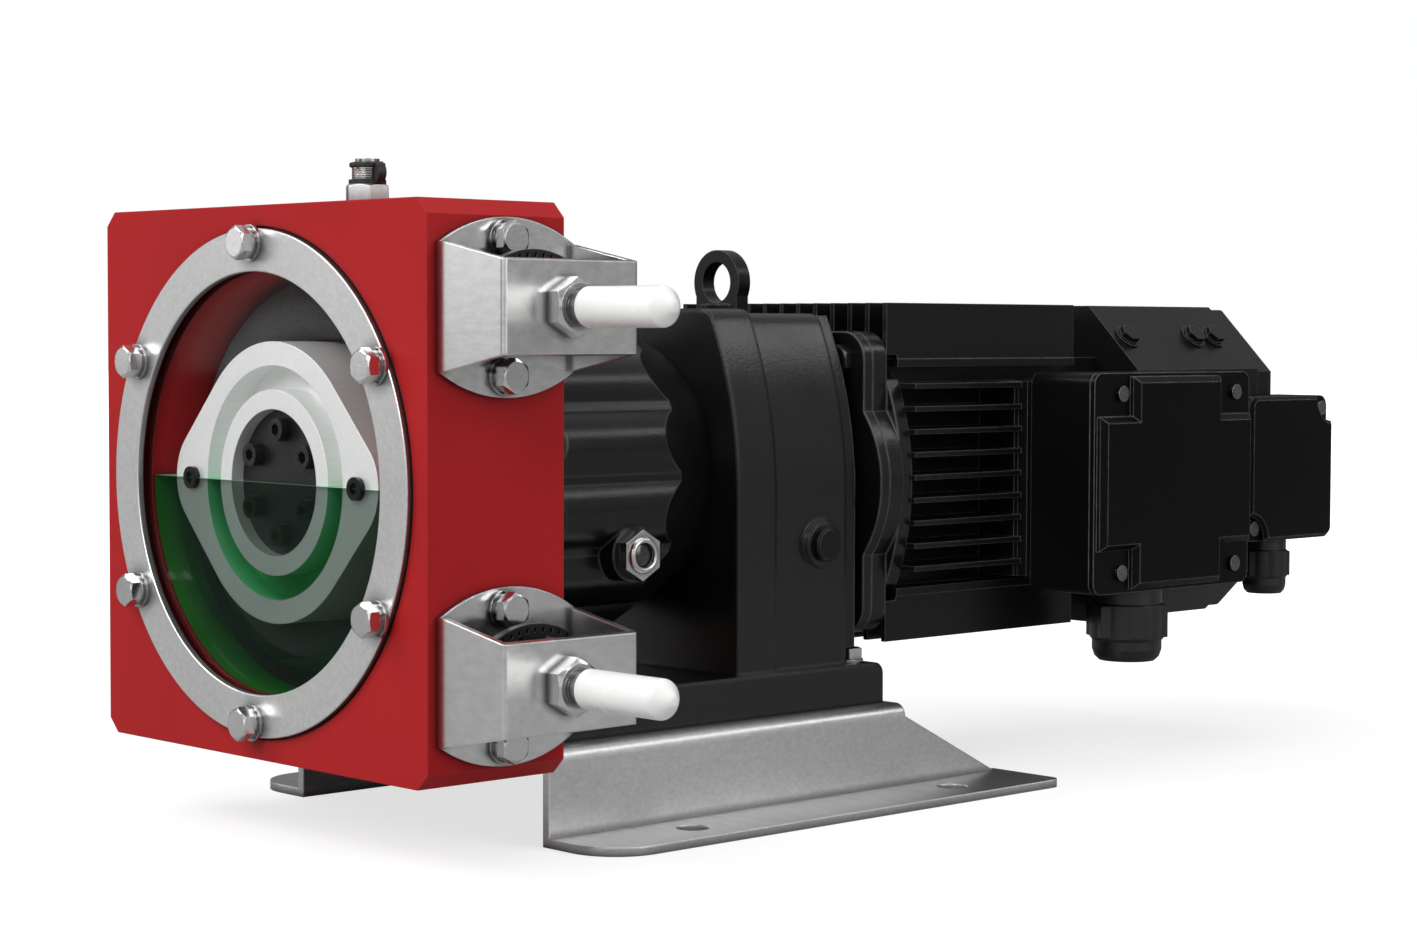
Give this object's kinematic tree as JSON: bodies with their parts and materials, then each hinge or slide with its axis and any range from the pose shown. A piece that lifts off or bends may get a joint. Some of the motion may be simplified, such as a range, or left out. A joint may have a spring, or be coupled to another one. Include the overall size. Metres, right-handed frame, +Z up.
{
  "type": "peristaltic hose pump",
  "caption": "Peristaltic hose pump: a block housing with a round sight window, rotor and hose, side ports, flanged gearbox and finned motor with fan cowl and terminal boxes on a sheet base.",
  "frame": {"origin": "centre of the four base holes, on the floor plane under the base", "axes": "+Z up; +Y along the pump and motor axis from the window to the fan; +X towards the two hose ports"},
  "size_m": [0.3611, 0.6394, 0.2954],
  "materials": {
    "housing_red": "satin red enamel",
    "black_enamel": "satin black enamel",
    "black_casting": "satin black painted casting",
    "stainless_sheet": "brushed stainless sheet",
    "stainless_ring": "ground stainless",
    "bright_steel": "bright plated steel",
    "turned_steel": "turned steel",
    "rotor_alloy": "machined",
    "dark_steel": "oiled dark steel",
    "hose_rubber": "matt black rubber",
    "seal_rubber": "matt black rubber",
    "cap_white": "glossy white plastic",
    "black_plastic": "matt black plastic",
    "window_clear": "clear acrylic",
    "winding": "varnished copper and laminations"
  },
  "bodies": {
    "pump": {"base_frame": "stainless_sheet", "bearing_barrel": "black_casting", "bracket_bolts": "bright_steel", "bracket_washers": "bright_steel", "breather_body": "bright_steel", "breather_tether": "seal_rubber", "cable_glands": "black_plastic", "case_side_plug": "black_enamel", "countershaft_bearings": "turned_steel", "cover_bolts": "bright_steel", "cover_gasket": "seal_rubber", "cover_ring": "stainless_ring", "cover_washers": "bright_steel", "cowl_screws": "bright_steel", "fan_cowl": "black_enamel", "fan_guard": "black_enamel", "fan_motor": "black_plastic", "fan_terminal_box": "black_enamel", "fan_terminal_lid": "black_enamel", "flange_bolts": "dark_steel", "foot_fasteners": "bright_steel", "gear_case": "black_casting", "hose_clamps": "bright_steel", "input_cover": "black_casting", "lid_screws": "bright_steel", "lifting_eye": "black_enamel", "lower_port_bracket": "stainless_sheet", "motor_bearings": "turned_steel", "motor_end_shield": "black_casting", "motor_frame": "black_enamel", "motor_rear_shield": "black_casting", "oil_sight_plug": "bright_steel", "output_bearings": "turned_steel", "port_locknuts": "bright_steel", "port_nipples": "turned_steel", "pump_hose": "hose_rubber", "pump_housing": "housing_red", "shaft_seal": "seal_rubber", "sight_window": "window_clear", "stator_core": "winding", "terminal_box": "black_enamel", "terminal_lid": "black_enamel", "upper_port_bracket": "stainless_sheet"},
    "rotor": {"rotor": "rotor_alloy", "press_shoes": "rotor_alloy", "rotor_screws": "dark_steel", "rotor_hub_plate": "dark_steel", "output_shaft": "turned_steel", "rotor_key": "turned_steel", "output_wheel": "dark_steel"},
    "countershaft": {"countershaft": "turned_steel", "counter_wheel": "dark_steel"},
    "motor_rotor": {"motor_spindle": "turned_steel", "rotor_core": "dark_steel", "input_pinion": "dark_steel"},
    "fan": {"cooling_fan": "black_plastic", "fan_spindle": "turned_steel"},
    "upper_cap": {"upper_port_cap": "cap_white"},
    "lower_cap": {"lower_port_cap": "cap_white"},
    "breather_cap": {"breather_cap": "rotor_alloy"}
  },
  "joints": [
    {"name": "rotor_spin", "type": "hinge", "parent": "pump", "child": "rotor", "pos_m": [0, -0.1975, 0.157], "axis": [0, 1, 0], "continuous": true, "deforming": ["pump_hose"]},
    {"name": "countershaft_spin", "type": "hinge", "parent": "pump", "child": "countershaft", "pos_m": [0, 0.0125, 0.106], "axis": [0, 1, 0], "continuous": true},
    {"name": "motor_spin", "type": "hinge", "parent": "pump", "child": "motor_rotor", "pos_m": [0, 0.1625, 0.1495], "axis": [0, 1, 0], "continuous": true},
    {"name": "fan_spin", "type": "hinge", "parent": "pump", "child": "fan", "pos_m": [0, 0.3025, 0.1495], "axis": [0, 1, 0], "continuous": true},
    {"name": "upper_cap_pull", "type": "slide", "parent": "pump", "child": "upper_cap", "axis": [1, 0, 0], "range_m": [0, 0.045]},
    {"name": "lower_cap_pull", "type": "slide", "parent": "pump", "child": "lower_cap", "axis": [1, 0, 0], "range_m": [0, 0.045]},
    {"name": "breather_cap_lift", "type": "slide", "parent": "pump", "child": "breather_cap", "axis": [0, 0, 1], "range_m": [0, 0.02]}
  ],
  "couplings": [
    {"joint": "countershaft_spin", "follows": "rotor_spin", "ratio": -4.6667},
    {"joint": "motor_spin", "follows": "rotor_spin", "ratio": 19.939}
  ]
}
